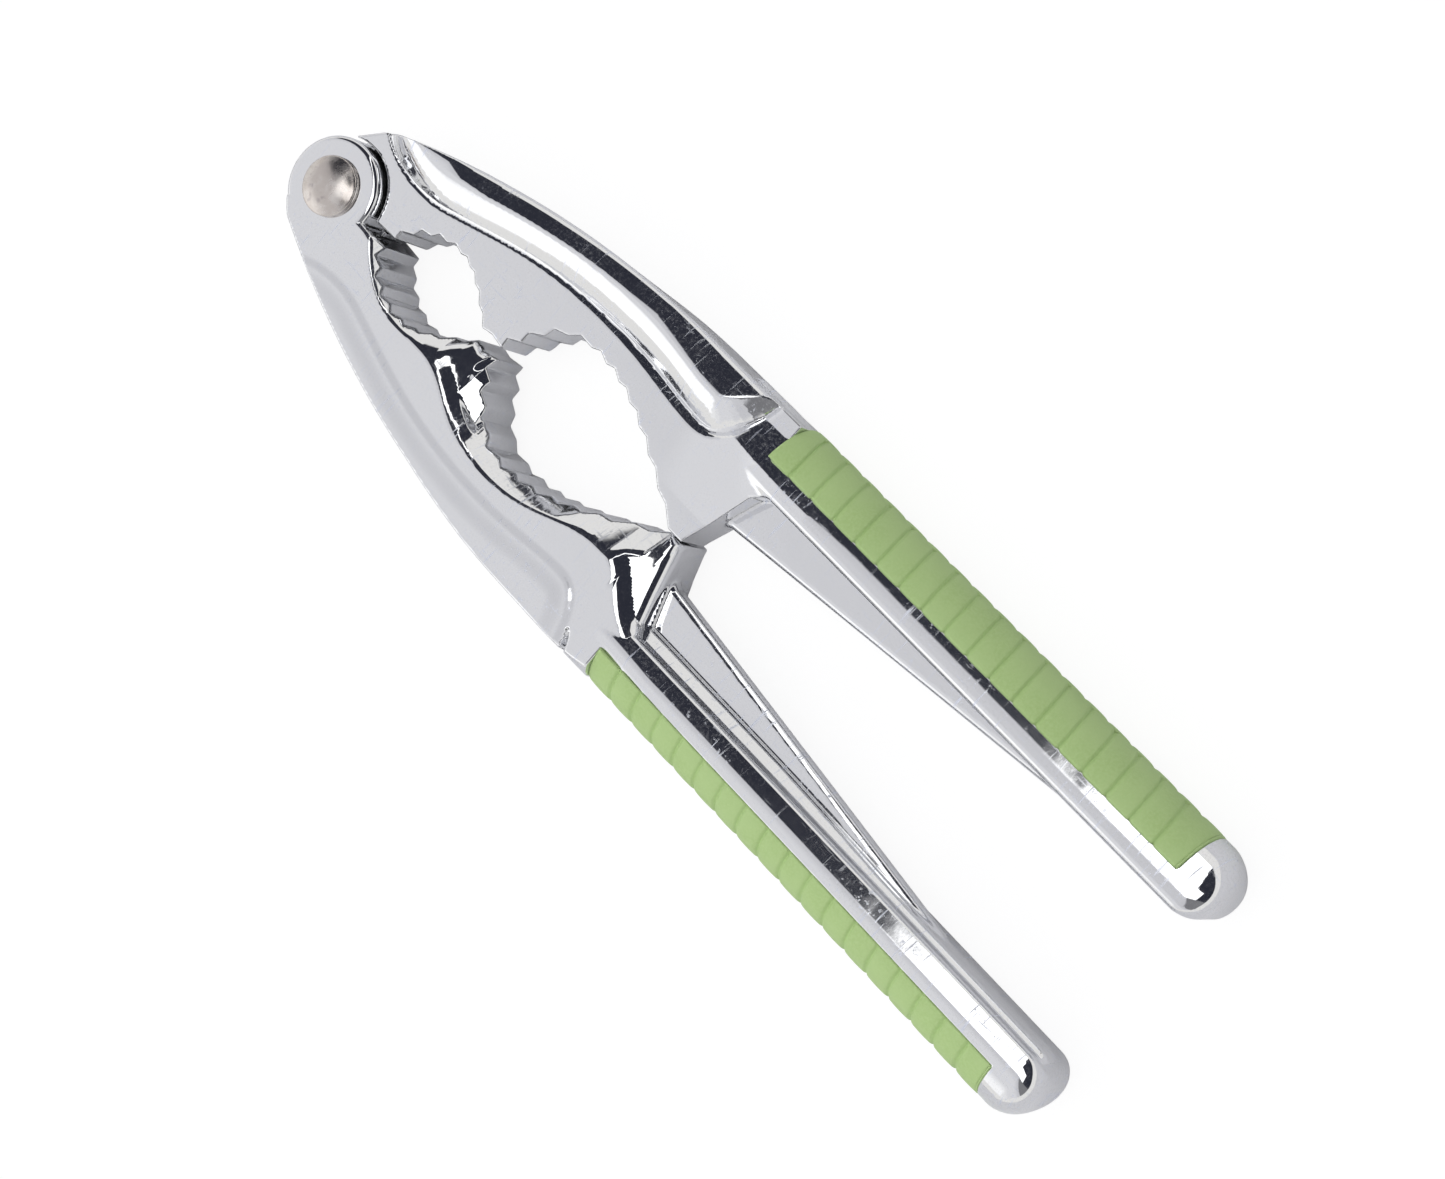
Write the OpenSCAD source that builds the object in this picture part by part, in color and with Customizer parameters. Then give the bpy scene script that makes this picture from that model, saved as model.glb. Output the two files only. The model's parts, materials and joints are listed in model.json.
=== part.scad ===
// Hand nutcracker with two toothed nut cavities and ribbed soft grips.
// Both arms are the same die casting: the front arm is the rear arm turned
// over about the long axis. The tool lies flat, shown closed.
// X runs from the pivot end to the handle ends, Z is up, the table is z = 0.
// Everything is designed about the pivot centre and then moved by "placed()".

/* [Arms] */
// Distance from the pivot centre to the end of a handle
arm_length = 156.2; // [153:0.1:164]
// Half thickness of the toothed wall of the jaws
wall_half = 4.65; // [4.2:0.05:5.2]
// Height of the plate on the eye side above the mid-plane
plate_top = 6.7; // [6.3:0.05:6.9]
// Half thickness over the raised shells, which is the height it rests on
shell_half = 7.2; // [7.1:0.05:8]
// Half width of the closed tool over the handles
half_width = 22.3; // [22:0.1:23.5]
// Thickness of the gusset web between jaw and handle
web_thickness = 3.0; // [2:0.1:4]

/* [Pivot] */
// Outer radius of the eye of each arm
eye_radius = 7.2; // [6.8:0.05:7.4]
// Diameter of the rivet shank
rivet_diameter = 5.0; // [4:0.1:6]
// Diameter of the rivet head
rivet_head = 8.5; // [8:0.1:10]
// Height of the upright rim of the rivet head
rivet_rim = 0.8; // [0.4:0.1:1.2]
// Rise of the dome of the rivet head above its rim
rivet_dome = 0.9; // [0.5:0.1:1.2]
// Radial clearance of the rivet in the moving eye
pin_clearance = 0.05; // [0.02:0.01:0.1]

/* [Teeth] */
// Deepest notch between teeth, next to the pivot side of a cavity
notch_deep = 1.05; // [0.6:0.05:1.2]
// Shallowest notch between teeth, on the handle side of a cavity
notch_shallow = 0.5; // [0.3:0.05:0.8]
// Teeth on each quarter of the small cavity
small_teeth = 4; // [3:1:5]
// Teeth on the steep side of the large cavity
large_teeth_steep = 4; // [3:1:5]
// Teeth on the long side of the large cavity
large_teeth_long = 7; // [5:1:9]

/* [Grips] */
// Start of the soft grip, measured from the pivot
grip_start = 74.5; // [74:0.1:76]
// End of the soft grip, measured from the pivot
grip_end = 150; // [146:0.1:151]
// Number of scalloped segments along one grip
grip_segments = 18; // [12:1:24]
// Depth of the creases between the segments
crease_depth = 0.35; // [0.2:0.05:0.6]
// Width of a crease
crease_width = 0.5; // [0.3:0.05:0.9]

/* [Hidden] */
$fn = 72;
eps = 0.01;
// Half of the gap between the two eyes, and between the closed jaw stubs
eye_gap = 0.1;
stub_gap = 0.15;
// Radius of the shoulder that runs round the other arm's eye
shoulder_radius = eye_radius + 0.35;
// Outer edge of an arm: a long arc that runs tangent into the straight handle
edge_radius = 175.2;
edge_centre_x = 65.6;
edge_centre_y = half_width - edge_radius;
// Start of the outer edge, where the bevel beside the eye ends
bevel_x = 0.4;
bevel_y = edge_centre_y + sqrt(pow(edge_radius, 2) - pow(edge_centre_x - bevel_x, 2));
// Rounding of the outer edge: width across the face and depth down the side
round_in = 3.5;
round_down = 4.6;
// Handle section: highest along crown_y, rounded off to both sides
handle_in = 11.4;
crown_y = 15;
section_power = 2.3;
grip_edge_y = 16.9;
grip_thickness = 1.5;
grip_proud = 0.15;
// The handle rises out of the plate between these two stations
ramp_start = 65;
ramp_end = 74;
// Rivet tail, kept inside the height the tool rests on
tail_height = shell_half - plate_top - 0.1;
// Frame: centre of the overall box in X, table in Z
centre_x = (arm_length - eye_radius) / 2;

// Point on a cubic curve
function curve_at(p, t) =
    pow(1 - t, 3) * p[0] + 3 * t * pow(1 - t, 2) * p[1]
    + 3 * t * t * (1 - t) * p[2] + pow(t, 3) * p[3];

// Smooth run of points along a cubic curve, its last point left out
function run_of(p, n = 10) = [for (i = [0 : n - 1]) curve_at(p, i / n)];

// Point on the outer edge arc at a given x
function edge_at(x, inset = 0) =
    [x, edge_centre_y + sqrt(pow(edge_radius - inset, 2) - pow(edge_centre_x - x, 2))];

// Saw teeth along a cubic curve: tip, then a notch set back to the left of travel
function notch_of(a, b, depth) =
    let (d = b - a, l = norm(d)) a + 0.42 * d + depth * [-d[1], d[0]] / l;
function teeth_of(p, n, deep, shallow) =
    [for (i = [0 : n - 1], k = [0, 1])
        let (a = curve_at(p, i / n), b = curve_at(p, (i + 1) / n))
            k == 0 ? a : notch_of(a, b, deep + (shallow - deep) * (i + 0.5) / n)];

notch_mid = (notch_deep + notch_shallow) / 2;
cusp = [34.5, 0.85];
stub_tip = [69.6, stub_gap];

// The toothed edge from the pivot side to the stub, teeth pointing into the cavities
small_a = [[11.6, 0.8], [13.6, 4.2], [17, 5.9], [20.7, 5.9]];
small_b = [[20.7, 5.9], [23.5, 6.0], [26.5, 3.6], [30.2, 0.9]];
large_a = [cusp, [36.9, 3.8], [38.6, 9.4], [44.5, 9.7]];
large_b = [[44.5, 9.7], [52, 9.9], [57.5, 7.0], stub_tip];
toothed_edge = concat(
    teeth_of(small_a, small_teeth, notch_deep * 0.8, notch_mid * 0.8),
    teeth_of(small_b, small_teeth, notch_shallow, notch_shallow * 0.8),
    [[30.2, 0.9], [32, 1.25]],
    teeth_of(large_a, large_teeth_steep, notch_deep, notch_mid),
    teeth_of(large_b, large_teeth_long, notch_mid * 0.85, notch_shallow),
    [stub_tip]);

// Back of the stub, running up to the inside of the handle
stub_back = [[72.3, stub_gap], [72.3, 1], [75, 8], [79, 12]];

// Edge of the upper plate on the eye side, set back from the teeth
plate_edge = concat(
    run_of([[9.3, 0.5], [11.5, 3.2], [15.5, 6.6], [20.8, 6.75]]),
    run_of([[20.8, 6.75], [23.5, 6.8], [26, 6.2], [29, 6.9]]),
    run_of([[29, 6.9], [34, 8.2], [36, 12.1], [45.8, 12.1]]),
    run_of([[45.8, 12.1], [54.5, 12.1], [59, 7.3], [65.5, 7.3]]),
    run_of([[65.5, 7.3], [71, 7.3], [72, 13.4], [79, 13.8]]));

// Inner edge of the raised shell
shell_edge = concat(
    run_of([[bevel_x, bevel_y], [4, 8.2], [10, 7.2], [15, 8.6]]),
    run_of([[15, 8.6], [24, 11], [32, 14.4], [47, 14.4]]),
    run_of([[47, 14.4], [54, 14.4], [58, 13.3], [63, 13.3]]),
    run_of([[63, 13.3], [67.5, 13.3], [69, 17], [70.3, half_width + 1]]));

// Outer edge from the handle back to the bevel, kept a little outside the
// rounded side so that the rounding alone shapes it
outer_edge = concat(
    [[84, half_width + 1]],
    [for (x = [edge_centre_x : -8 : 5]) edge_at(x) + [0, 1]],
    [[bevel_x - 0.6, bevel_y + 0.5]]);

// Moves a part from the pivot centre to the frame of the whole tool
module placed() {
    translate([-centre_x, 0, shell_half]) children();
}

// Turns the rear arm's shape over to make the front arm's
module turned() {
    rotate([180, 0, 0]) children();
}

// Section of an arm's outer side, from the rounded edge inwards
module side_section(depth) {
    polygon(concat(
        [[-depth, -shell_half], [-depth, shell_half]],
        [for (a = [90 : -10 : 0])
            [-round_in + round_in * cos(a), shell_half - round_down + round_down * sin(a)]],
        [for (a = [0 : -10 : -90])
            [-round_in + round_in * cos(a), round_down - shell_half + round_down * sin(a)]]));
}

// Everything inside the rounded outer side of an arm
module rounded_side() {
    start = asin((edge_centre_x + 12) / edge_radius);
    translate([edge_centre_x, edge_centre_y, 0])
        rotate([0, 0, 90])
            rotate_extrude(angle = start, $fn = 720)
                translate([edge_radius, 0])
                    side_section(34);
    translate([edge_centre_x - eps, half_width, 0])
        rotate([90, 0, 90])
            linear_extrude(14)
                side_section(34);
}

// Toothed wall, the full-height core of the jaw
module jaw_wall() {
    translate([0, 0, -wall_half])
        linear_extrude(2 * wall_half)
            polygon(concat([[6, 0.4], [11.6, 0.8]], toothed_edge, stub_back,
                [[84, 12]], outer_edge, [[-5.1, 5.1], [0, 0.4]]));
}

// Upper plate on the eye side
module eye_side_plate() {
    translate([0, 0, -plate_top])
        linear_extrude(plate_top)
            polygon(concat([[6, 0.5]], plate_edge, [[79, 13.8], [84, 13.8]],
                outer_edge, [[-5.1, 5.1], [0, 0.5]]));
}

// Raised shell on both faces
module raised_shell() {
    translate([0, 0, -shell_half])
        linear_extrude(2 * shell_half)
            polygon(concat(shell_edge, [[70.3, half_width + 1]],
                [for (x = [edge_centre_x : -8 : 5]) edge_at(x) + [0, 1]]));
}

// Point on the rounded outer side of the handle section
function outer_at(a, proud) =
    [crown_y + (half_width - crown_y + proud) * pow(cos(a), 2 / section_power),
        (shell_half + proud) * pow(sin(a), 2 / section_power)];

// Half outline of the handle section, from the inner side over the crown
function handle_half(proud) = concat(
    run_of([[handle_in, 0], [handle_in, 1.6], [11.8, 3.4], [12.1, 4.4]], 4),
    run_of([[12.1, 4.4], [12.4, 5.9], [13.2, shell_half], [crown_y, shell_half]], 6),
    proud > 0 ? [[crown_y, shell_half]] : [],
    [for (a = [90 : -6 : 0]) outer_at(a, proud)]);

// Whole handle section
module handle_section(proud = 0) {
    half = handle_half(proud);
    polygon(concat(half,
        [for (p = [len(half) - 2 : -1 : 1]) [half[p][0], -half[p][1]]]));
}

// Band of the section that belongs to the soft grip
module grip_band() {
    translate([grip_edge_y, -20])
        square([20, 40]);
}

// Section of the metal core under the grip
module core_section() {
    difference() {
        handle_section();
        difference() {
            grip_band();
            handle_section(-grip_thickness);
        }
    }
}

// Plan and side outlines of the rounded handle end
module end_rounding() {
    mid_y = (handle_in + half_width) / 2;
    half_y = (half_width - handle_in) / 2 + eps;
    half_z = shell_half + eps;
    corner = 4.2;
    side_corner = 5;
    intersection() {
        translate([0, 0, -20])
            linear_extrude(40)
                union() {
                    translate([0, mid_y - half_y])
                        square([arm_length - corner, 2 * half_y]);
                    translate([0, mid_y - half_y + corner])
                        square([arm_length, 2 * (half_y - corner)]);
                    for (s = [-1, 1])
                        translate([arm_length - corner, mid_y + s * (half_y - corner)])
                            circle(r = corner);
                }
        rotate([90, 0, 0])
            translate([0, 0, -40])
                linear_extrude(80)
                    union() {
                        translate([0, -half_z])
                            square([arm_length - side_corner, 2 * half_z]);
                        translate([0, side_corner - half_z])
                            square([arm_length, 2 * (half_z - side_corner)]);
                        for (s = [-1, 1])
                            translate([arm_length - side_corner, s * (half_z - side_corner)])
                                circle(r = side_corner);
                    }
    }
}

// Handle bar, full section at both ends and a recessed core under the grip
module handle_bar() {
    intersection() {
        union() {
            translate([ramp_start - 4, 0, 0])
                rotate([90, 0, 90])
                    linear_extrude(grip_start - ramp_start + 4)
                        handle_section();
            translate([grip_start - eps, 0, 0])
                rotate([90, 0, 90])
                    linear_extrude(grip_end - grip_start + 2 * eps)
                        core_section();
            translate([grip_end, 0, 0])
                rotate([90, 0, 90])
                    linear_extrude(arm_length - grip_end)
                        handle_section();
        }
        end_rounding();
        handle_ramp();
    }
}

// Side outline that lets the handle rise gently out of the plate
module handle_ramp() {
    low = wall_half - 0.05;
    high = shell_half + 1;
    rotate([90, 0, 0])
        translate([0, 0, -40])
            linear_extrude(80)
                polygon([[0, -low], [0, low], [ramp_start, low], [ramp_end, shell_half],
                    [ramp_end, high], [arm_length + 1, high], [arm_length + 1, -high],
                    [ramp_end, -high], [ramp_end, -shell_half], [ramp_start, -low]]);
}

// Flat web that stiffens the corner between stub and handle
module gusset() {
    translate([0, 0, -web_thickness / 2])
        linear_extrude(web_thickness)
            polygon([[73.2, 5.2], [75, 5.4], [133, handle_in + 0.2], [133, 12.5], [74, 12.5]]);
}

// The eye: a disc on one side of the mid-plane with a rounded rim
module eye_disc() {
    rim = 0.8;
    rotate_extrude()
        polygon(concat([[0, -plate_top], [0, -eye_gap], [eye_radius, -eye_gap]],
            [for (a = [0 : -15 : -90])
                [eye_radius - rim + rim * cos(a), rim - plate_top + rim * sin(a)]]));
}

// One arm casting, drawn for the rear arm: jaw, eye, gusset and handle in one piece.
// "bore" is the radius of the rivet hole.
module arm_casting(bore) {
    difference() {
        union() {
            difference() {
                intersection() {
                    union() {
                        jaw_wall();
                        eye_side_plate();
                        raised_shell();
                    }
                    rounded_side();
                }
                // Room for the other arm's eye on the far side of the mid-plane
                translate([0, 0, -eye_gap])
                    cylinder(r = shoulder_radius, h = 30);
                // The handle bar alone shapes everything past the start of the grip
                translate([grip_start - 0.5, 12, -30])
                    cube([20, 20, 60]);
            }
            eye_disc();
            handle_bar();
            gusset();
        }
        translate([0, 0, -30])
            cylinder(r = bore, h = 60);
    }
}

// Soft grip, a ribbed sleeve round the outer side of a handle
module grip_sleeve() {
    pitch = (grip_end - grip_start) / grip_segments;
    difference() {
        translate([grip_start, 0, 0])
            rotate([90, 0, 90])
                linear_extrude(grip_end - grip_start)
                    difference() {
                        intersection() {
                            handle_section(grip_proud);
                            grip_band();
                        }
                        core_section();
                    }
        // Creases between the segments
        for (i = [1 : grip_segments - 1])
            translate([grip_start + i * pitch - crease_width / 2, 0, 0])
                rotate([90, 0, 90])
                    linear_extrude(crease_width)
                        difference() {
                            translate([grip_edge_y - 1, -20])
                                square([20, 40]);
                            handle_section(grip_proud - crease_depth);
                        }
    }
}

// Fixed arm on the -Y side, its eye on top
module front_arm() {
    color([0.78, 0.79, 0.81])
        placed()
            turned()
                arm_casting(rivet_diameter / 2);
}

// Moving arm on the +Y side, its eye underneath
module rear_arm() {
    color([0.74, 0.75, 0.77])
        placed()
            arm_casting(rivet_diameter / 2 + pin_clearance);
}

// Rivet: domed head over the front eye, shank, flat formed tail under the rear eye
module pivot_rivet() {
    ball = (pow(rivet_head / 2, 2) + pow(rivet_dome, 2)) / (2 * rivet_dome);
    color([0.66, 0.63, 0.6])
        placed() {
            translate([0, 0, -plate_top - tail_height])
                cylinder(d = rivet_diameter, h = 2 * plate_top + tail_height + eps);
            intersection() {
                translate([0, 0, plate_top + rivet_rim + rivet_dome - ball])
                    sphere(r = ball, $fn = 96);
                translate([0, 0, plate_top])
                    cylinder(d = rivet_head, h = rivet_rim + rivet_dome + 1);
            }
            translate([0, 0, -plate_top - tail_height])
                cylinder(d = rivet_head - 0.5, h = tail_height - 0.05);
        }
}

// Soft grip of the front arm
module front_grip() {
    color([0.72, 0.84, 0.57])
        placed()
            turned()
                grip_sleeve();
}

// Soft grip of the rear arm
module rear_grip() {
    color([0.72, 0.84, 0.57])
        placed()
            grip_sleeve();
}

front_arm();
rear_arm();
pivot_rivet();
front_grip();
rear_grip();
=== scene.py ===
"""Looks of the hand nutcracker: two chrome-plated castings on one rivet, with ribbed soft grips.

All shapes are worked out in millimetres about the pivot centre and then placed in the row
frame. X runs from the pivot to the handle ends, Z is up, and the moving arm is on the +Y side.
Each casting is an implicit solid, blended with fillets as cast metal is, and meshed here.
"""

import json
import math

import bpy
import numpy as np
from mathutils import Matrix, Vector


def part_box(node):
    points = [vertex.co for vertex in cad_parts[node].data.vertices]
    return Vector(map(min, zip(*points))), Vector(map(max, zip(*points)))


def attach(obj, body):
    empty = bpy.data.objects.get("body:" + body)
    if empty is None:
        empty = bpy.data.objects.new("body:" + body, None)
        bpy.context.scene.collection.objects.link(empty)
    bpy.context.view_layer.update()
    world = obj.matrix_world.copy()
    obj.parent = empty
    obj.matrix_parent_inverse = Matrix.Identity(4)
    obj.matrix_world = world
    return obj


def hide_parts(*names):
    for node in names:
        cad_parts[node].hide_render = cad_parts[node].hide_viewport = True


MM = 0.001

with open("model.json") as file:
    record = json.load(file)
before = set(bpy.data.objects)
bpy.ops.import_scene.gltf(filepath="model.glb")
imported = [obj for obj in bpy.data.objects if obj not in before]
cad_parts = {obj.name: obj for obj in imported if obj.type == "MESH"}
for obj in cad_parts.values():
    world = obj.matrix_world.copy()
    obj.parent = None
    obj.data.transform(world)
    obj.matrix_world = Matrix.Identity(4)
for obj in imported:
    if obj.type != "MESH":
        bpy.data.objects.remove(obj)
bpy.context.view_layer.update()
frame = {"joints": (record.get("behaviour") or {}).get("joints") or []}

# ---------------------------------------------------------------- driving sizes, millimetres
pivot = Vector(frame["joints"][0]["pos_m"])
arm_low, arm_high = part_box("rear_arm")
rivet_low, rivet_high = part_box("pivot_rivet")

ARM_END = (arm_high.x - pivot.x) / MM          # pivot to the end of a handle
EYE_RADIUS = (pivot.x - arm_low.x) / MM        # outer radius of an arm's eye
HALF_WIDTH = (arm_high.y - pivot.y) / MM       # centre line to the outer side of a handle
SHELL_TOP = (pivot.z - arm_low.z) / MM         # half thickness over shells and handles
WALL_TOP = 4.65                                # half thickness of the toothed wall
PLATE_TOP = 6.7                                # plate height on the eye side
EYE_GAP = 0.1                                  # half gap between the two eyes
SHOULDER_RADIUS = EYE_RADIUS + 0.35            # hollow that clears the other arm's eye
BORE_RADIUS = 2.55

EDGE_RADIUS = 150.0                            # long arc of the outer edge
EDGE_CENTRE = (58.0, HALF_WIDTH - EDGE_RADIUS)
BEVEL_START = (-5.1, 5.1)                      # bevel between the eye and the outer edge
BEVEL_END_X = 0.4

CROWN_Y = 15.0                                 # ridge line of the gripped part of the handle
SHELL_SIDE_CROWN, EYE_SIDE_CROWN = 14.7, 15.6  # ridge lines of the bare bar on its two sides
OUTER_POWER = 2.15                             # squareness of its outer, gripped side
INNER_SIDE = 12.6                              # inner side of the handle above its ledge
INNER_ROUND = 1.6                              # height of the rounding above that side
SHELL_SIDE_WIDE = 1.3                          # width of that rounding away from the eye side
LEDGE_Y, LEDGE_SHIFT = 11.3, 0.6               # inner side of the ledge, and how far it moves out
LEDGE_TOP, LEDGE_SLOPE = 4.1, 1.04             # its sloping face, where it leaves the bar
CAP_START = 153.0                              # the handle turns into its round end from here
CAP_MIDDLE = 16.7                              # middle line of the round end
CAP_CROWN, CAP_SIDE, CAP_HIGH = 16.0, 11.6, 4.5    # its ridge, inner side, inner rounding's height
CAP_ROUND, CAP_BEND = 2.9, 0.06                # its rounding, and how its outline curves

GRIP_START, GRIP_END = 74.5, 150.0
GRIP_EDGE_Y = 16.9
GRIP_SEGMENTS = 18
GRIP_THICKNESS = 1.5
WEB_HALF = 1.5                                 # half thickness of the gusset web
WEB_ROUND, WEB_FILLET = 1.0, 0.35
BAR_START = 62.0                               # the handle bar reaches this far into the jaw

STEP = 0.285            # mesh pitch


# ---------------------------------------------------------------- outlines
def curve(points, n=12):
    """Points along a cubic curve, its last point left out."""
    p = np.array(points, float)
    t = (np.arange(n) / n)[:, None]
    return ((1 - t) ** 3 * p[0] + 3 * t * (1 - t) ** 2 * p[1]
            + 3 * t * t * (1 - t) * p[2] + t ** 3 * p[3])


def teeth(points, n, deep, shallow):
    """Saw teeth along a cubic curve: a tip, then a notch to the left of travel, n times."""
    p = np.array(points, float)
    tips = np.vstack([curve(p, n), p[3:]])
    out = []
    for i in range(n):
        along = tips[i + 1] - tips[i]
        side = np.array([-along[1], along[0]]) / np.hypot(*along)
        depth = deep + (shallow - deep) * (i + 0.5) / n
        out += [tips[i], tips[i] + 0.42 * along + depth * side]
    return np.array(out)


def edge_y(x):
    """Outer edge of an arm at x: a long arc, then straight along the handle."""
    x = np.minimum(x, EDGE_CENTRE[0])
    return EDGE_CENTRE[1] + np.sqrt(EDGE_RADIUS ** 2 - (EDGE_CENTRE[0] - x) ** 2)


BEVEL_END = (BEVEL_END_X, float(edge_y(BEVEL_END_X)))


# (curve, number of teeth, depth of the first, depth of the last) along the two half cavities
CUSP, STUB_TIP = (34.5, 0.85), (69.6, 0.15)
SMALL_CAVITY = (([(11.6, 0.8), (13.6, 4.2), (17, 5.9), (20.7, 5.9)], 4, 0.84, 0.62),
                ([(20.7, 5.9), (23.5, 6.0), (26.5, 3.6), (30.2, 0.9)], 4, 0.5, 0.4))
LARGE_CAVITY = (([CUSP, (36.9, 3.8), (38.6, 9.4), (44.5, 9.7)], 4, 1.05, 0.78),
                ([(44.5, 9.7), (52, 9.9), (57.5, 7.0), STUB_TIP], 7, 0.66, 0.5))


def jaw_outline(toothed):
    """Full outline of the jaw wall, with teeth or with a smooth line through their tips."""
    def edge(cavity):
        return np.vstack([teeth(*run) if toothed else curve(run[0]) for run in cavity])
    stub_back = [(72.3, 0.15), (72.5, 1), (74.9, 8), (76.0, 11.0), (78.5, 13.5), (84, 14)]
    outside = [(84, HALF_WIDTH + 3), (BEVEL_END[0], BEVEL_END[1] + 8), (-14, 14), (0, 0.4), (6, 0.4)]
    return np.vstack([edge(SMALL_CAVITY), [(30.2, 0.9), (32, 1.25)], edge(LARGE_CAVITY),
                      [STUB_TIP], stub_back, outside])


def plate_outline():
    """Upper plate on the eye side, set back from the teeth."""
    inner = np.vstack([
        curve([(9.3, 0.5), (11.5, 3.2), (15.5, 6.6), (20.8, 6.75)]),
        curve([(20.8, 6.75), (23.5, 6.8), (26, 6.2), (29, 6.9)]),
        curve([(29, 6.9), (34, 8.2), (36, 12.1), (45.8, 12.1)]),
        curve([(45.8, 12.1), (54.5, 12.1), (59, 7.3), (65.5, 7.3)]),
        curve([(65.5, 7.3), (69.5, 7.3), (71.3, 12.4), (76.5, 13.6)]),
        [(76.5, 13.6), (84, 15)]])
    outside = [(84, HALF_WIDTH + 3), (BEVEL_END[0], BEVEL_END[1] + 8), (-14, 14)]
    return np.vstack([[(6, 0.5)], inner, outside, [(0, 0.5)]])


def shell_outline():
    """Raised shell along the outer edge."""
    inner = np.vstack([
        curve([BEVEL_END, (4, 8.2), (10, 7.2), (15, 8.6)]),
        curve([(15, 8.6), (24, 11), (32, 14.2), (47, 14.2)]),
        curve([(47, 14.2), (54, 14.2), (58, 13.0), (63, 13.0)]),
        curve([(63, 13.0), (67.5, 13.0), (69.4, 17), (70.6, HALF_WIDTH + 3)])])
    return np.vstack([inner, [(70.6, HALF_WIDTH + 3), (20, HALF_WIDTH + 3), (-2, BEVEL_END[1] + 4)]])


def web_outline():
    """Gusset web between stub and handle."""
    return np.array([(73.0, 4.6), (75, 5.4), (133, 11.7), (133, 14), (76, 14)])


# ---------------------------------------------------------------- distance fields
def outline_distance(x, y, outline):
    """Signed distance to a closed outline, negative inside."""
    best = np.full(x.shape, 1e9)
    inside = np.zeros(x.shape, bool)
    for (ax, ay), (bx, by) in zip(outline, np.roll(outline, -1, axis=0)):
        dx, dy = bx - ax, by - ay
        t = np.clip(((x - ax) * dx + (y - ay) * dy) / (dx * dx + dy * dy + 1e-12), 0, 1)
        best = np.minimum(best, (x - ax - t * dx) ** 2 + (y - ay - t * dy) ** 2)
        if ay != by:
            cross = (ay > y) != (by > y)
            inside ^= cross & (x < ax + (y - ay) * dx / dy)
    return np.where(inside, -1, 1) * np.sqrt(best)


def round_max(a, b, r):
    """Both: intersection with a convex fillet of radius r."""
    u, v = np.maximum(a + r, 0), np.maximum(b + r, 0)
    return np.minimum(np.maximum(a, b), -r) + np.hypot(u, v)


def round_min(a, b, r):
    """Either: union with a concave fillet of radius r."""
    return -round_max(-a, -b, r)


def oval_distance(y, z, half_y, half_z, power):
    """Distance to a rounded oval about the origin, near its surface."""
    u, v = np.abs(y) / half_y + 1e-6, np.abs(z) / half_z + 1e-6
    g = (u ** power + v ** power) ** (1 / power)
    slope = np.hypot((u / g) ** (power - 1) / half_y, (v / g) ** (power - 1) / half_z)
    return (g - 1) / slope


def smoothstep(x, a, b):
    t = np.clip((x - a) / (b - a), 0, 1)
    return t * t * (3 - 2 * t)


OUTLINES = {"wall": jaw_outline(True), "jaw": jaw_outline(False), "plate": plate_outline(),
            "shell": shell_outline(), "web": web_outline()}

# the eye side of the jaw, as (place along X, value): height of the toothed rim, steepness of the
# bevel that rises from it, steepness of the bank at the plate's border, and of the ramp beyond it
RIM = ((8, 6.3), (21, 5.7), (24, 5.2), (26, 4.3), (28, 3.3), (30, 2.9), (34, 3.6), (35.2, 5.2), (36.5, 5.7),
       (39, 5.9), (41, 4.3), (57, 4.2), (60, 4.0), (63, 3.4), (66, 2.4), (69.5, 1.6), (71.2, 5.6), (72, 5.9),
       (76, 5.9))
BEVEL = ((32, 1.12), (35, 0.42), (38, 0.42), (41, 1.0), (57, 1.0), (61, 1.0), (66, 0.9), (69.5, 0.9),
         (71.5, 0.42))
BANK = ((22, 1.3), (26, 0.62), (29, 0.56), (38.5, 0.48), (41, 1.2), (57, 1.2), (61, 0.5), (67, 0.5),
        (70, 0.7))
RAMP = ((22, 1.3), (26, 0.62), (29, 0.6), (33.6, 0.26), (34.4, 0.2), (38.5, 0.2), (41, 1.2), (57, 1.2),
        (61, 0.5), (66, 0.42), (70, 0.24), (72, 0.2))
BANK_WIDTH = 1.8
# the facet behind the cusp: where it starts along X, how far it runs, how steep it is there and
# how steep it is beside the cusp's tip, nearer the centre line than FACET_TOP
FACET_START, FACET_LENGTH, FACET_FALL, TIP_FALL, FACET_TOP = 34.4, 5, 0.3, 0.5, 4.3
FACET_END, TIP_START = (38.8, 40.2), (33.0, 34.6)
TIP_RISE = 1.2                                 # extra height of the rim round the cusp's tip
CUSP_END = 50                                  # what shapes the cusp stops short of this place
EDGE_ROUND = 0.3                               # rounding of the toothed edges
STUB_BACK, STUB_ROUND = (70.3, 72.3), 1.5      # the eye side is rounder on the back of the stub

# the other side of the jaw
GROOVE_WIDTH, GROOVE_GROWTH = 0.45, 0.9        # groove at the shell's foot, wider towards the handle
SHOULDER, SHOULDER_RISE = (62, 77), 2.3        # the flat face rises to meet the handle
SHELL_FOOT = 4.3                               # height at which the dome of the shell begins
DOME_WIDTH, DOME_POWER = 5.0, 1.5
SHELL_END = (62, 68)                           # the dome is narrower and blunter past here
EMBOSS = ((0, 1.5, 0.12), (1.5, 4.5, 0.14))    # (from, to, rise) of the shell on the eye side


def along(x, table):
    """Value at x on a line of (place, value) pairs."""
    return np.interp(x, *zip(*table))


# breadth of the dark, rounded outer side of the shell, at places along X
BREAST = ((8, 0.6), (12, 1.5), (15, 3.6), (20, 5.0), (30, 4.9), (40, 4.2), (50, 3.6), (60, 5.8), (66, 6.0))
# draft of the outer side from the shell's breast down, as a slope
DRAFT, DRAFT_TOP = ((0, 0.16), (35, 0.15), (50, 0.11), (70, 0.09), (84, 0)), 5.5

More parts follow.
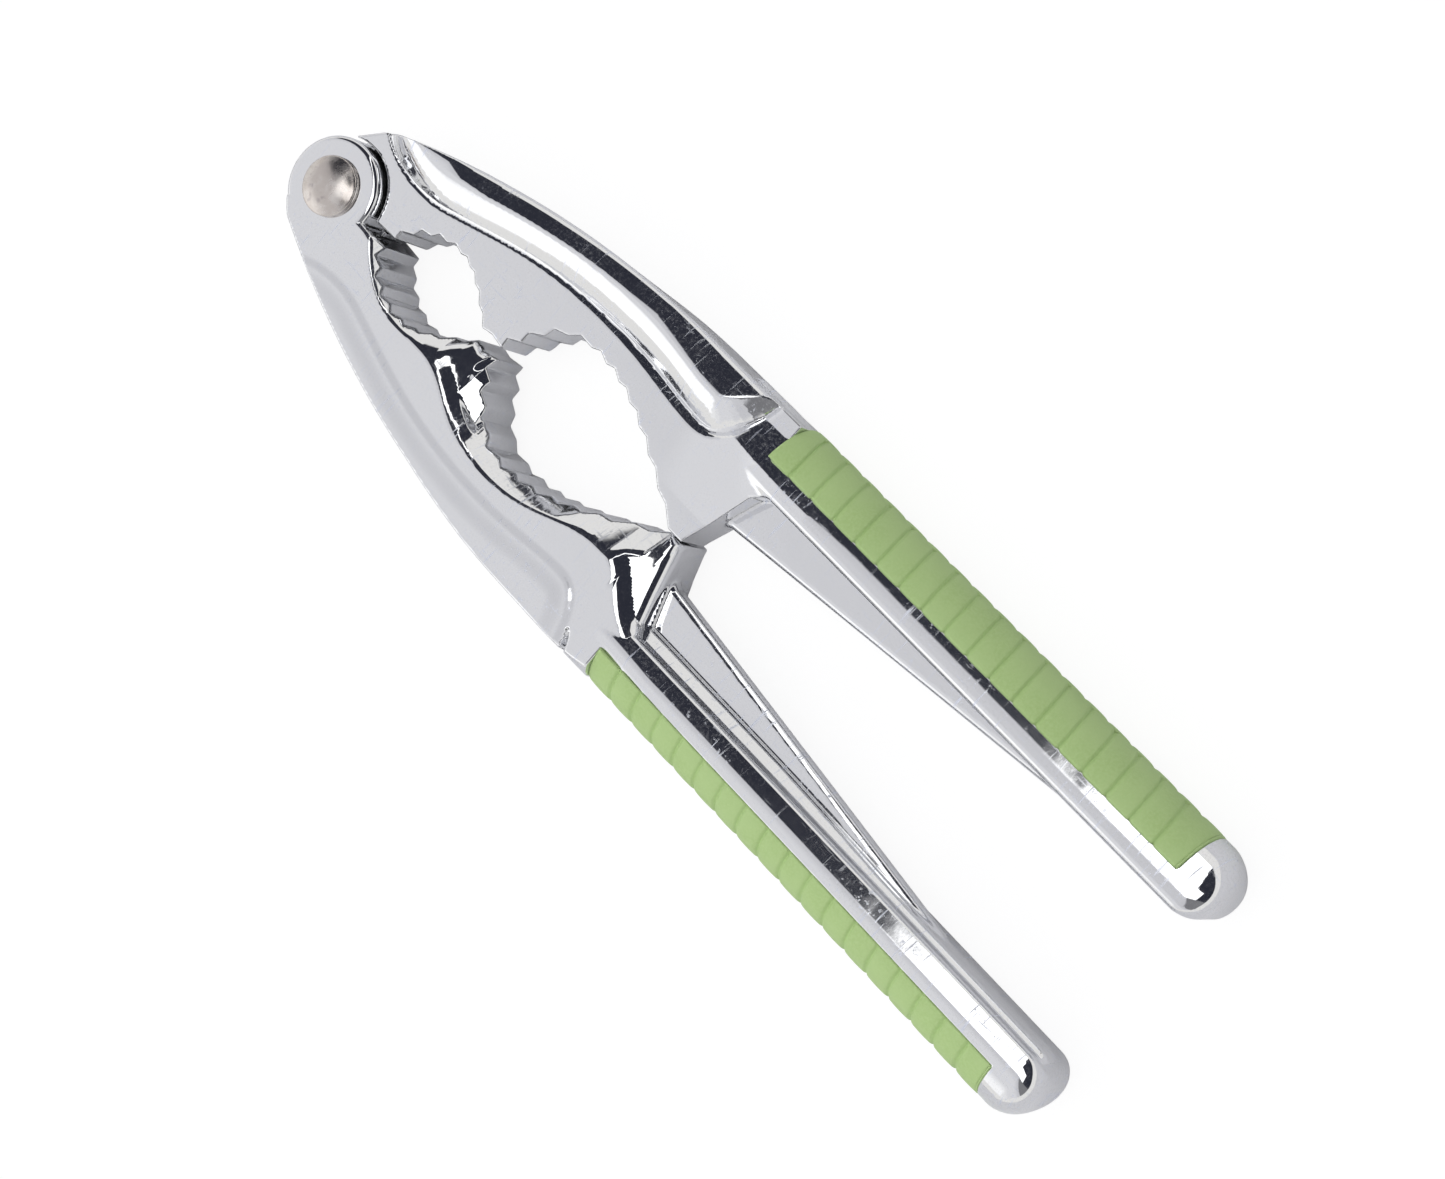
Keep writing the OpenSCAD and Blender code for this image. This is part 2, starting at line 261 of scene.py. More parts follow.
# the handle bar rises out of the jaw between two places on each side, from a half height
SHELL_SIDE_RISE, SHELL_SIDE_START = (64, 79), 4.2
EYE_SIDE_RISE, EYE_SIDE_START = (66, 82), 6.4


def plan_fields(x, y):
    """Everything about a place that depends on x and y only."""
    f = {name: outline_distance(x, y, outline) for name, outline in OUTLINES.items()}
    f["x"], f["y"] = x, y
    f["eye"] = np.hypot(x, y)
    # inset from the outer edge: the arc or straight side, and the bevel beside the eye
    arc = EDGE_RADIUS - np.hypot(x - EDGE_CENTRE[0], y - EDGE_CENTRE[1])
    f["inset"] = np.where(x < EDGE_CENTRE[0], arc, HALF_WIDTH - y)
    bx, by = BEVEL_END[0] - BEVEL_START[0], BEVEL_END[1] - BEVEL_START[1]
    f["bevel"] = ((y - BEVEL_START[1]) * bx - (x - BEVEL_START[0]) * by) / math.hypot(bx, by)
    return f


def sloped(height, slope):
    """Turns a height above a sloping face into a distance from it."""
    return height / np.hypot(1, slope)


def eye_face(f, z):
    """Eye side of the jaw: plate, a bank and a ramp beyond its border, a bevel along the rim."""
    x, y = f["x"], f["y"]
    ramp, bank, bevel = along(x, RAMP), along(x, BANK), along(x, BEVEL)
    beyond = f["plate"] - BANK_WIDTH
    drop = np.where(beyond < 0, bank * f["plate"], bank * BANK_WIDTH + ramp * beyond)
    facet = FACET_FALL * np.clip(x - FACET_START, 0, FACET_LENGTH) * smoothstep(beyond, -0.3, 0.3)
    beside_tip = TIP_FALL * np.clip(FACET_TOP - y, 0, None) * smoothstep(x, *TIP_START)
    drop = drop + facet * (1 - smoothstep(x, *FACET_END)) + beside_tip * (x < CUSP_END)
    tip = TIP_RISE * smoothstep(-y, -5.0, -3.5) * smoothstep(x, 33, 35.5)
    rim = along(x, RIM) + tip * (x < CUSP_END)
    over = -z - PLATE_TOP
    face = round_max(over, sloped(over + drop, np.where(beyond < 0, bank, ramp)), 0.3)
    return round_max(face, sloped(-z - rim + bevel * f["jaw"], bevel), 0.3)


def flat_face(f, z):
    """Other side of the jaw: flat, rising to the handle, and falling into a groove at the foot of
    the shell."""
    x, y = f["x"], f["y"]
    groove = GROOVE_WIDTH + GROOVE_GROWTH * smoothstep(x, 25, 58)
    fall = 0.45 * groove * np.clip(1 - f["shell"] / groove, 0, 1) ** 2
    ridge = np.where(y < CROWN_Y, np.clip((y - 4) / (CROWN_Y - 4), 0, 1) ** 1.15,
                     np.clip(1 - (y - CROWN_Y) / 4.5, 0, 1))
    return z - WALL_TOP + fall - SHOULDER_RISE * smoothstep(x, *SHOULDER) * ridge


def shell_distance(f, z):
    """Raised shell: a dome on the flat side, barely embossed on the eye side."""
    inward = -f["shell"]
    to_end = smoothstep(f["x"], *SHELL_END)
    power, width = DOME_POWER - 0.3 * to_end, DOME_WIDTH - 1.3 * to_end
    rise = SHELL_TOP - SHELL_FOOT
    t = np.clip(inward / width, 0, 1)
    dome = SHELL_FOOT + rise * (1 - (1 - t) ** power)
    dome_slope = power * rise / width * (1 - t) ** (power - 1)
    emboss = PLATE_TOP + sum(high * smoothstep(inward, low, far) for low, far, high in EMBOSS)
    shell = np.maximum((z - dome) / np.hypot(1, dome_slope), -z - emboss)
    return np.maximum(shell, f["shell"])


def jaw_distance(f, z):
    """The flat, toothed half of the casting with the raised shell along its outer edge."""
    stub_round = STUB_ROUND * smoothstep(f["x"], *STUB_BACK) * (z < 0)
    body = round_max(f["wall"], np.maximum(eye_face(f, z), flat_face(f, z)), EDGE_ROUND + stub_round)
    shell = shell_distance(f, z)
    return np.where(z > 0, round_min(body, shell, 0.25), np.minimum(body, shell))


def side_distance(f, z):
    """Outer side of the jaw: broadly rounded over the dome, leaning in towards the eye side."""
    draft = along(f["x"], DRAFT) * np.clip(DRAFT_TOP - z, 0, None)
    inset = f["inset"] - draft

    def rounding(wide, high, height):
        over = np.abs(z) - (high - height)
        oval = oval_distance(np.maximum(wide - inset, 0), np.maximum(over, 0), wide, height, 2.0)
        return np.where((inset < wide) & (over > 0), oval, np.maximum(-inset, np.abs(z) - high))
    breast, to_handle = along(f["x"], BREAST), smoothstep(f["x"], *EYE_SIDE_RISE)
    return np.where(z > 0, rounding(breast, SHELL_TOP, 0.42 * breast),
                    rounding(0.5 + 5 * to_handle, SHELL_TOP, 0.8 + 5 * to_handle))


def handle_distance(f, z):
    """Handle bar: a broad rounded outer side, and an inner side that is rounder on the eye side than
    on the other and has a narrow ledge there."""
    x, y = f["x"], f["y"]
    height = np.where(
        z > 0, SHELL_SIDE_START + (SHELL_TOP - SHELL_SIDE_START) * smoothstep(x, *SHELL_SIDE_RISE),
        EYE_SIDE_START + (SHELL_TOP - EYE_SIDE_START) * smoothstep(x, *EYE_SIDE_RISE))
    cap = smoothstep(x, CAP_START, CAP_START + 4)     # the end is round about its own middle

    def to_cap(value, at_cap):
        return value + (at_cap - value) * cap
    crown = to_cap(np.where(z > 0, SHELL_SIDE_CROWN, EYE_SIDE_CROWN), CAP_CROWN)
    outer = oval_distance(y - crown, z, HALF_WIDTH - crown, height,
                         OUTER_POWER - 0.4 * (1 - smoothstep(x, 78, 95)))
    side = to_cap(INNER_SIDE, CAP_SIDE)
    wide = to_cap(np.where(z > 0, SHELL_SIDE_WIDE, EYE_SIDE_CROWN - INNER_SIDE), CAP_CROWN - CAP_SIDE)
    high = to_cap(INNER_ROUND, CAP_HIGH)
    over = np.maximum(np.abs(z) - (height - high), 0)
    inward = side + wide - y
    inner = np.where((inward > 0) & (over > 0),
                     oval_distance(np.maximum(inward, 0), over, wide, high, 2.0),
                     np.maximum(side - y, np.abs(z) - height))
    bar = np.where(y > crown, outer, inner)
    # the ledge, on the eye side only: one sloping face beside the bar
    face = sloped(-z - LEDGE_TOP + LEDGE_SLOPE * (INNER_SIDE - y), LEDGE_SLOPE)
    ledge = np.maximum(face, np.maximum(y - INNER_SIDE - 0.5, z - 0.5))
    ledge_side = LEDGE_Y + LEDGE_SHIFT * smoothstep(x, 100, 130)
    bar = round_min(bar, round_max(ledge, ledge_side - y, 0.2), 0.05)
    end = x - ARM_END + CAP_BEND * (y - CAP_MIDDLE) ** 2
    return round_max(bar, np.maximum(end, BAR_START - x), CAP_ROUND)


def arm_distance(f, z):
    """Signed distance of one arm casting, drawn for the rear arm with its eye underneath."""
    x, y = f["x"], f["y"]
    body = round_max(jaw_distance(f, z), side_distance(f, z), 0.15)
    body = round_max(body, f["bevel"], 0.4)
    # hollow for the other arm's eye, and this arm's own eye
    hollow = np.maximum(f["eye"] - SHOULDER_RADIUS, -z - EYE_GAP)
    body = round_max(body, -hollow, 0.25)
    eye = round_max(f["eye"] - EYE_RADIUS, np.maximum(-z - PLATE_TOP, z + EYE_GAP), 0.8)
    body = np.minimum(body, eye)
    body = round_min(body, handle_distance(f, z), 0.05 + 0.5 * smoothstep(x, 70, 78) * (z > 0))
    # gusset web
    web = round_max(f["web"], np.abs(z) - WEB_HALF, WEB_ROUND)
    body = round_min(body, web, WEB_FILLET)
    # seat of the soft grip
    core = oval_distance(y - CROWN_Y, z, HALF_WIDTH - CROWN_Y - GRIP_THICKNESS,
                         SHELL_TOP - GRIP_THICKNESS, OUTER_POWER)
    seat = np.maximum(np.maximum(GRIP_START - x, x - GRIP_END),
                      np.maximum(GRIP_EDGE_Y - y, -core))
    body = round_max(body, -seat, 0.12)
    return np.maximum(body, BORE_RADIUS - f["eye"])


# ---------------------------------------------------------------- meshing
def axis_points(*runs):
    """Grid positions from (start, end, pitch) runs laid end to end."""
    out = []
    for start, end, pitch in runs:
        n = max(1, round((end - start) / pitch))
        out.append(start + (end - start) * np.arange(n) / n)
    return np.concatenate(out + [[runs[-1][1]]])


def net_of(xs, ys, zs, values):
    """Vertices and quads of the surface values == 0 on a box grid."""
    inside = values < 0
    shape = tuple(n - 1 for n in values.shape)
    total = np.zeros(shape + (3,))
    count = np.zeros(shape)
    grids = (xs, ys, zs)
    crossings = []
    for a in range(3):
        low = tuple(slice(0, -1) if c == a else slice(None) for c in range(3))
        high = tuple(slice(1, None) if c == a else slice(None) for c in range(3))
        cross = inside[low] != inside[high]
        at = np.argwhere(cross)
        v0, v1 = values[low][cross], values[high][cross]
        t = v0 / (v0 - v1)
        point = np.stack([grids[c][at[:, c]] for c in range(3)], -1)
        point[:, a] += t * (grids[a][at[:, a] + 1] - grids[a][at[:, a]])
        crossings.append((a, at, v0 < 0))
        b, c = (a + 1) % 3, (a + 2) % 3
        for ob in (0, -1):
            for oc in (0, -1):
                cell = at.copy()
                cell[:, b] += ob
                cell[:, c] += oc
                ok = ((cell >= 0) & (cell < shape)).all(1)
                key = tuple(cell[ok].T)
                np.add.at(total, key, point[ok])
                np.add.at(count, key, 1)
    used = count > 0
    index = np.full(shape, -1)
    index[used] = np.arange(used.sum())
    verts = total[used] / count[used][:, None]
    quads = []
    for a, at, leaving in crossings:
        b, c = (a + 1) % 3, (a + 2) % 3
        corners = []
        for ob, oc in ((-1, -1), (0, -1), (0, 0), (-1, 0)):
            cell = at.copy()
            cell[:, b] += ob
            cell[:, c] += oc
            corners.append(index[tuple(np.clip(cell, 0, np.array(shape) - 1).T)])
        quad = np.stack(corners, -1)
        quad[~leaving] = quad[~leaving][:, ::-1]
        quads.append(quad)
    return verts, np.concatenate(quads)


def settle(verts, rounds=2):
    """Moves vertices onto the true surface and returns their normals too."""
    h = 0.02
    for step in range(rounds + 1):
        x, y, z = verts.T
        here = arm_distance(plan_fields(x, y), z)
        slope = np.stack([
            arm_distance(plan_fields(x + h, y), z) - arm_distance(plan_fields(x - h, y), z),
            arm_distance(plan_fields(x, y + h), z) - arm_distance(plan_fields(x, y - h), z),
            arm_distance(plan_fields(x, y), z + h) - arm_distance(plan_fields(x, y), z - h),
        ], -1) / (2 * h)
        size = (slope ** 2).sum(1)
        if step < rounds:
            move = -here[:, None] * slope / np.maximum(size, 0.2)[:, None]
            length = np.linalg.norm(move, axis=1)
            move *= np.minimum(1, 0.5 * STEP / np.maximum(length, 1e-9))[:, None]
            verts = verts + move
    return verts, slope / np.sqrt(np.maximum(size, 1e-6))[:, None]


def arm_surface():
    """Vertices, quads and normals of one casting, in millimetres about the pivot."""
    # the handle is straight from 84 to 146, so the grid is coarser along it there
    xs = axis_points((-EYE_RADIUS - 1, 84, STEP), (84, 146, 3 * STEP), (146, ARM_END + 1, STEP))
    ys = axis_points((-EYE_RADIUS - 1, HALF_WIDTH + 1, STEP))
    zs = axis_points((-SHELL_TOP - 1, SHELL_TOP + 1, STEP))
    x, y = np.meshgrid(xs, ys, indexing="ij")
    plan = {k: v[..., None] for k, v in plan_fields(x, y).items()}
    verts, quads = net_of(xs, ys, zs, arm_distance(plan, zs[None, None, :]))
    verts, normals = settle(verts)
    verts[:, 2] = np.clip(verts[:, 2], -SHELL_TOP, SHELL_TOP)
    return verts, quads, normals


def add_mesh(name, verts, faces, normals=None):
    """A smooth mesh object from millimetres about the pivot."""
    mesh = bpy.data.meshes.new(name)
    mesh.from_pydata((verts * MM + np.array(pivot)).tolist(), [], list(faces))
    mesh.update()
    mesh.polygons.foreach_set("use_smooth", np.ones(len(mesh.polygons), bool))
    if normals is not None:
        mesh.normals_split_custom_set_from_vertices(normals.tolist())
    obj = bpy.data.objects.new(name, mesh)
    bpy.context.scene.collection.objects.link(obj)
    return obj


TURN = np.array([1.0, -1.0, -1.0])             # turned over about the long axis


# ---------------------------------------------------------------- materials
class Nodes:
    """Short helpers for a node tree."""

    def __init__(self, tree):
        self.nodes, self.links = tree.nodes, tree.links

    def add(self, kind, **values):
        node = self.nodes.new("ShaderNode" + kind)
        for key, value in values.items():
            setattr(node, key, value)
        return node

    def feed(self, socket, value):
        if isinstance(value, (int, float, tuple)):
            socket.default_value = value
        else:
            self.links.new(value, socket)

    def math(self, operation, a, b=0.0):
        node = self.add("Math", operation=operation)
        self.feed(node.inputs[0], a)
        self.feed(node.inputs[1], b)
        return node.outputs[0]

    def step(self, value, low, high):
        """0 below low, 1 above high."""
        node = self.add("MapRange", interpolation_type="SMOOTHSTEP")
        self.feed(node.inputs["Value"], value)
        node.inputs["From Min"].default_value = low
        node.inputs["From Max"].default_value = high
        return node.outputs["Result"]

    def mix(self, amount, a, b):
        node = self.add("Mix", data_type="RGBA")
        self.feed(node.inputs["Factor"], amount)
        self.feed(node.inputs[6], a)
        self.feed(node.inputs[7], b)
        return node.outputs[2]


def new_material(name):
    mat = bpy.data.materials.new(name)
    mat.use_nodes = True
    return mat, Nodes(mat.node_tree), mat.node_tree.nodes["Principled BSDF"]


def noise(n, vector, scale, detail=2.0, roughness=0.5):
    node = n.add("TexNoise")
    n.feed(node.inputs["Vector"], vector)
    node.inputs["Scale"].default_value = scale
    node.inputs["Detail"].default_value = detail
    node.inputs["Roughness"].default_value = roughness
    return node.outputs["Fac"]


def scaled(n, vector, scale, turn=0.0):
    """Object coordinates stretched by a scale per axis, after a turn about Z."""
    node = n.add("Mapping")
    n.feed(node.inputs["Vector"], vector)
    node.inputs["Rotation"].default_value = (0, 0, turn)
    node.inputs["Scale"].default_value = scale
    return node.outputs[0]


def bumped(n, bsdf, layers):
    """Chains bump maps: (height, distance in metres) each."""
    normal = None
    for height, distance in layers:
        bump = n.add("Bump")
        bump.inputs["Strength"].default_value = 1.0
        bump.inputs["Distance"].default_value = distance
        n.feed(bump.inputs["Height"], height)
        if normal:
            n.feed(bump.inputs["Normal"], normal)
        normal = bump.outputs[0]
    n.feed(bsdf.inputs["Normal"], normal)


def chrome_material():
    """Bright plating over a polished die casting: slow waviness, fine polishing scratches in two
    directions, and small dull specks where the plating has been rubbed."""
    mat, n, bsdf = new_material("chrome")
    place = n.add("TexCoord").outputs["Object"]
    scratches = n.step(noise(n, scaled(n, place, (2600, 170, 170), 0.35), 1.0, 2.0), 0.6, 0.72)
    crossing = n.step(noise(n, scaled(n, place, (260, 2300, 900), -0.2), 1.0, 1.0), 0.66, 0.76)
    specks = n.step(noise(n, place, 1500, 3.0, 0.6), 0.6, 0.7)
    marks = n.math("MAXIMUM", n.math("MAXIMUM", scratches, n.math("MULTIPLY", crossing, 0.6)),
                   n.math("MULTIPLY", specks, 0.8))
    worn = n.step(noise(n, place, 85, 2.0), 0.38, 0.62)
    marks = n.math("MULTIPLY", marks, n.math("ADD", n.math("MULTIPLY", worn, 0.75), 0.25))
    n.feed(bsdf.inputs["Roughness"], n.math("ADD", n.math("MULTIPLY", marks, 0.3), 0.055))
    tint = n.mix(marks, (0.845, 0.85, 0.865, 1), (0.78, 0.81, 0.9, 1))
    n.feed(bsdf.inputs["Base Color"], tint)
    haze = n.step(noise(n, place, 2400, 3.0, 0.7), 0.45, 0.75)
    haze = n.math("MULTIPLY", haze, n.math("ADD", worn, 0.25))
    n.feed(bsdf.inputs["Metallic"], n.math("SUBTRACT", 0.985, n.math("MULTIPLY", haze, 0.12)))
    bumped(n, bsdf, ((noise(n, place, 130, 2.0), 0.000035), (noise(n, place, 1100, 2.0), 0.0000012),
                     (marks, 0.0000008)))
    return mat


def rivet_material():
    """Pressed steel head: warm grey, dull, with a mottled smear and a few dents."""
    mat, n, bsdf = new_material("rivet_steel")
    bsdf.inputs["Metallic"].default_value = 1
    place = n.add("TexCoord").outputs["Object"]
    mottle = noise(n, place, 420, 4.0, 0.6)
    stain = n.step(noise(n, place, 900, 2.0), 0.56, 0.74)
    tint = n.mix(n.step(mottle, 0.35, 0.7), (0.6, 0.55, 0.515, 1), (0.75, 0.71, 0.68, 1))
    tint = n.mix(n.math("MULTIPLY", stain, 0.45), tint, (0.33, 0.3, 0.31, 1))
    n.feed(bsdf.inputs["Base Color"], tint)
    n.feed(bsdf.inputs["Roughness"], n.math("ADD", n.math("MULTIPLY", mottle, 0.3), 0.12))
    bumped(n, bsdf, ((noise(n, place, 330, 2.0), 0.00006), (noise(n, place, 2600, 2.0), 0.000004)))
    return mat


def grip_material():
    """Soft moulded rubber: fine grain with paler flecks, slightly uneven green."""
    mat, n, bsdf = new_material("grip_rubber")
    place = n.add("TexCoord").outputs["Object"]
    blotch = n.step(noise(n, place, 160, 3.0), 0.35, 0.65)
    grain = noise(n, place, 2600, 3.0, 0.6)
    tint = n.mix(blotch, (0.43, 0.605, 0.242, 1), (0.46, 0.635, 0.27, 1))
    tint = n.mix(n.step(grain, 0.3, 0.75), tint, (0.48, 0.65, 0.285, 1))
    n.feed(bsdf.inputs["Base Color"], tint)
    n.feed(bsdf.inputs["Roughness"], n.math("ADD", n.math("MULTIPLY", grain, 0.2), 0.48))
    bsdf.inputs["Specular IOR Level"].default_value = 0.35
    bumped(n, bsdf, ((grain, 0.00002), (noise(n, place, 500, 2.0), 0.00003)))
    return mat


# ---------------------------------------------------------------- pieces
def build_arms(chrome):
    """The two castings: one surface, used as it is and turned over."""
    verts, quads, normals = arm_surface()
    for name, body, turn in (("rear_arm_casting", "rear_half", 1),
                             ("front_arm_casting", "front_half", TURN)):
        arm = add_mesh(name, verts * turn, quads.tolist(), normals * turn)
        arm.data.materials.append(chrome)
        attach(arm, body)
        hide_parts(name.replace("_casting", ""))


def grip_profile():
    """(share of a segment, depth below its crest) along one ribbed segment: a soft crease and a
    gently crowned land."""
    crease, soft, crown = 0.3, 0.11, 0.1
    out = []
    for u in (0, 0.025, 0.055, 0.09, 0.14, 0.22, 0.35, 0.5, 0.65, 0.78, 0.86, 0.91, 0.945, 0.975):
        near = min(u, 1 - u)
        out.append((u, crease * math.exp(-(near / soft) ** 2 * 3) + crown * (2 * u - 1) ** 2))
    return out


def build_grips(rubber):
    """Ribbed sleeves round the outer side of the handles, one land and one crease per segment."""
    pitch = (GRIP_END - GRIP_START) / GRIP_SEGMENTS
    proud, lip, around, overlap = 0.14, 0.35, 56, 1.2
    stations = [(GRIP_START, lip), (GRIP_START + 0.08, lip / 3), (GRIP_START + 0.3, 0.06)]
    for i in range(GRIP_SEGMENTS):
        stations += [(GRIP_START + (i + u) * pitch, dip) for u, dip in grip_profile() if i or u > 0.1]
    stations += [(GRIP_END - 0.3, 0.06), (GRIP_END - 0.08, lip / 3), (GRIP_END, lip)]
    # the crease planes lean on the rear sleeve, and stand square on the front one
    for name, body, turn, lean in (("rear_grip_sleeve", "rear_half", 1, 0.3),
                                   ("front_grip_sleeve", "front_half", TURN, 0.0)):
        rings = []
        for x, dip in stations:
            wide, high = HALF_WIDTH - CROWN_Y + proud - dip, SHELL_TOP + proud - dip
            first = math.acos(((GRIP_EDGE_Y - CROWN_Y) / wide) ** (OUTER_POWER / 2))
            angle = np.linspace(first, -first, around)
            c, s = np.cos(angle), np.sin(angle)
            y = CROWN_Y + wide * np.abs(c) ** (2 / OUTER_POWER)
            z = high * np.sign(s) * np.abs(s) ** (2 / OUTER_POWER)
            y = np.concatenate([[GRIP_EDGE_Y], y, [GRIP_EDGE_Y]])
            z = np.concatenate([[z[0] - overlap], z, [z[-1] + overlap]])
            ends = min((x - GRIP_START) / pitch, (GRIP_END - x) / pitch, 1.0)
            rings.append(np.stack([x + ends * lean * (z - SHELL_TOP) * (z > 0), y, z], -1))
        verts = np.array(rings).reshape(-1, 3)
        m = around + 2
        i, j = np.meshgrid(np.arange(len(rings) - 1), np.arange(m), indexing="ij")
        k = (j + 1) % m
        walls = np.stack([i * m + j, i * m + k, (i + 1) * m + k, (i + 1) * m + j], -1).reshape(-1, 4)
        last = (len(rings) - 1) * m
        faces = walls.tolist() + [list(range(m - 1, -1, -1)), [last + j for j in range(m)]]
        grip = add_mesh(name, verts * turn, faces)
        sharp = grip.data.attributes.new("sharp_edge", "BOOLEAN", "EDGE")
        for edge in grip.data.edges:
            a, b = edge.vertices
            corner = a % m in (0, m - 1) or b % m in (0, m - 1)
            sharp.data[edge.index].value = corner or a // m == b // m and a // m in (0, len(rings) - 1)
        grip.data.materials.append(rubber)
        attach(grip, body)
        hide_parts(name.replace("_sleeve", ""))


def turned(profile, around):
    """Vertices and faces of an (r, z) profile turned about the pivot, from pole to pole."""
    a = 2 * np.pi * np.arange(around) / around
    rings = [np.stack([r * np.cos(a), r * np.sin(a), np.full(around, z)], -1) for r, z in profile[1:-1]]
    verts = np.vstack([[(0, 0, profile[0][1])]] + rings + [[(0, 0, profile[-1][1])]])
    last = len(verts) - 1
    faces = []
    for i in range(around):
        k = (i + 1) % around
        faces.append((0, 1 + i, 1 + k))
        for j in range(len(rings) - 1):
            a0, b0 = 1 + j * around, 1 + (j + 1) * around
            faces.append((a0 + i, b0 + i, b0 + k, a0 + k))
        faces.append((last, last - around + k, last - around + i))
    return verts, faces


def build_rivet(steel):
    """Domed head, shank and flat tail, turned about the pivot."""
    top = (rivet_high.z - pivot.z) / MM
    low = (rivet_low.z - pivot.z) / MM
    head, wall, corner = 4.25, 0.85, 0.35
    rise = top - PLATE_TOP - wall
    profile = [(head * t * 0.92, top - rise * t ** 2.4) for t in np.linspace(0, 0.98, 14)]
    profile += [(head - corner + corner * math.sin(a), PLATE_TOP + wall - corner + corner * math.cos(a))
                for a in np.radians([25, 45, 65, 90])]
    profile += [(head - 0.05, PLATE_TOP + 0.05), (head - 0.1, PLATE_TOP), (2.5, PLATE_TOP),
                (2.5, -PLATE_TOP - 0.05), (4.0, -PLATE_TOP - 0.05), (4.0, low + 0.12),
                (3.88, low), (2.4, low), (1.2, low + 0.06), (0, low + 0.08)]
    obj = add_mesh("pivot_rivet_turned", *turned(profile, 96))
    obj.data.materials.append(steel)
    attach(obj, "front_half")
    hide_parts("pivot_rivet")


# ---------------------------------------------------------------- stage, light, camera
def build_stage():
    """Pale paper floor, bright to the eye and a softer grey where the metal mirrors it."""
    mat, n, bsdf = new_material("floor_paper")
    bsdf.inputs["Base Color"].default_value = (0.8, 0.8, 0.82, 1)
    bsdf.inputs["Roughness"].default_value = 0.9
    bsdf.inputs["Specular IOR Level"].default_value = 0.0
    glow = n.add("Emission")
    glow.inputs["Strength"].default_value = 1.08
    seen = n.math("MULTIPLY", n.add("LightPath").outputs["Is Camera Ray"], 0.85)
    mix = n.add("MixShader")
    n.feed(mix.inputs["Fac"], seen)
    n.feed(mix.inputs[1], bsdf.outputs["BSDF"])
    n.feed(mix.inputs[2], glow.outputs["Emission"])
    n.feed(n.nodes["Material Output"].inputs["Surface"], mix.outputs[0])
    size = 6.0                                        # metres, half the floor's width
    mesh = bpy.data.meshes.new("floor")
    corners = [(-size, -size, 0), (size, -size, 0), (size, size, 0), (-size, size, 0)]
    mesh.from_pydata(corners, [], [(0, 1, 2, 3)])
    floor = bpy.data.objects.new("floor", mesh)
    bpy.context.scene.collection.objects.link(floor)
    mesh.materials.append(mat)


BRIGHT, PALE, GREY = (1.3, 1.3, 1.3, 1), (0.77, 0.77, 0.79, 1), (0.63, 0.63, 0.655, 1)
MID, DARK, LOW = (0.2, 0.2, 0.21, 1), (0.018, 0.02, 0.032, 1), (0.86, 0.85, 0.83, 1)
WALL, SOFTBOX = (0.92, 0.92, 0.92, 1), (1.9, 1.9, 1.9, 1)

# the studio's edges, as (where, softness) on a direction's x, y or z, or across the row
SKEW = 0.5                                     # across = y + SKEW * x
PLAIN_WALL_X = (-0.3, 0.18)                    # the bright wall turns into a plain one
CEILING, GREY_CEILING = (-1.0, 0.25), (-0.5, 0.25)
DARK_SIDE = (-0.21, 0.06)
MID_X, MID_Y = (-0.15, 0.25), (-0.08, 0.06)    # the dark side is lighter past and below these
BOX_START_X, BOX_END_X, BOX_Y = (-0.256, 0.015), (0.45, 0.02), (-0.13, 0.03)
NOTCH_X, NOTCH_Y = (-0.19, 0.015), (0.27, 0.03)
HORIZON, HORIZON_DIP, HORIZON_SOFT = 0.36, 0.14, 0.03
DIP_SIDE = (-0.6, 0.3)                         # the horizon is lower across from here


